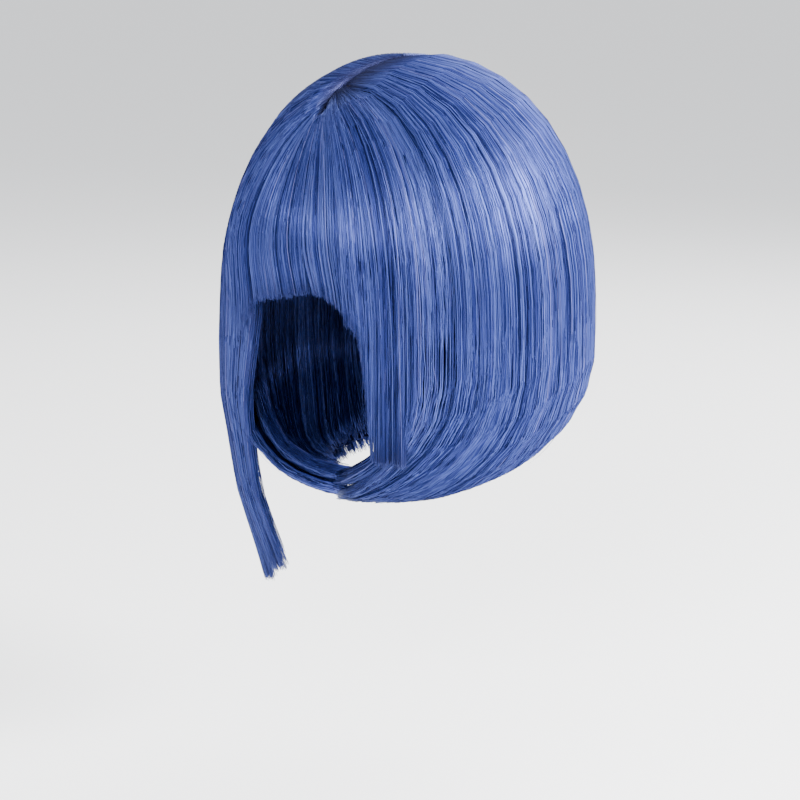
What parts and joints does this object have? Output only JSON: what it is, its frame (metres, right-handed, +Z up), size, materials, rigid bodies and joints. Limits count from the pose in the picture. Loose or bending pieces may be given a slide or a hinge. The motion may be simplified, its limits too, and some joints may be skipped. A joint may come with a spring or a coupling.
{
  "type": "costume wig",
  "caption": "Short blue bob wig with a centre parting, a blunt fringe, a short lock on one side and a long lock on the other, on a stretch-net cap with nape adjusters.",
  "frame": {"origin": "the point where the top of the wearer's head touches the inside of the cap", "axes": "+Z up, the wearer faces along -Y, the wearer's left is +X"},
  "size_m": [0.2, 0.2416, 0.31],
  "materials": {
    "hair": "glossy synthetic fibre in fine parallel strands",
    "hair_under": "glossy synthetic fibre, in shade",
    "net": "open stretch net",
    "scalp": "fine scalp cloth",
    "tape": "ribbed elastic tape",
    "weft": "machine-sewn weft header",
    "loop_tape": "soft loop pile",
    "hook_tape": "stiff hook tape",
    "elastic": "woven elastic",
    "label": "satin woven label"
  },
  "bodies": {
    "cap": {"cap_net": "net", "scalp_patch": "scalp", "forehead_band": "tape", "nape_band": "tape", "ear_tab_left": "tape", "ear_tab_right": "tape", "rib_left": "tape", "rib_rear_left": "tape", "rib_back": "tape", "rib_rear_right": "tape", "rib_right": "tape", "weft_row_1": "weft", "weft_row_2": "weft", "weft_row_3": "weft", "weft_row_4": "weft", "weft_row_5": "weft", "weft_row_6": "weft", "weft_row_7": "weft", "weft_row_8": "weft", "fringe_weft": "weft", "temple_weft_left": "weft", "temple_weft_right": "weft", "grip_pad_left": "loop_tape", "grip_pad_right": "loop_tape", "strap_anchor_left": "elastic", "strap_anchor_right": "elastic", "strap_left": "elastic", "strap_right": "elastic", "size_label": "label", "crown_left": "hair", "crown_right": "hair", "side_left": "hair", "side_right": "hair", "back_panel": "hair", "under_left": "hair_under", "under_right": "hair_under", "under_back": "hair_under"},
    "fringe": {"fringe": "hair"},
    "short_lock": {"short_lock": "hair"},
    "long_lock": {"long_lock": "hair"},
    "tab_left": {"grip_tab_left": "hook_tape"},
    "tab_right": {"grip_tab_right": "hook_tape"}
  },
  "joints": [
    {"name": "fringe_lift", "type": "hinge", "parent": "cap", "child": "fringe", "pos_m": [0, -0.0968, -0.047], "axis": [-1, 0, 0], "range_deg": [0, 55]},
    {"name": "short_lock_lift", "type": "hinge", "parent": "cap", "child": "short_lock", "pos_m": [0.0582, -0.0685, -0.047], "axis": [-0.7431, -0.6691, 0], "range_deg": [0, 45]},
    {"name": "long_lock_lift", "type": "hinge", "parent": "cap", "child": "long_lock", "pos_m": [-0.0582, -0.0685, -0.047], "axis": [-0.7431, 0.6691, 0], "range_deg": [0, 45]},
    {"name": "adjuster_left", "type": "hinge", "parent": "cap", "child": "tab_left", "pos_m": [0, 0.02828, -0.142], "axis": [0, 0, 1], "range_deg": [0, 20], "deforming": ["strap_left"]},
    {"name": "adjuster_right", "type": "hinge", "parent": "cap", "child": "tab_right", "pos_m": [0, 0.02828, -0.142], "axis": [0, 0, -1], "range_deg": [0, 20], "deforming": ["strap_right"]}
  ]
}
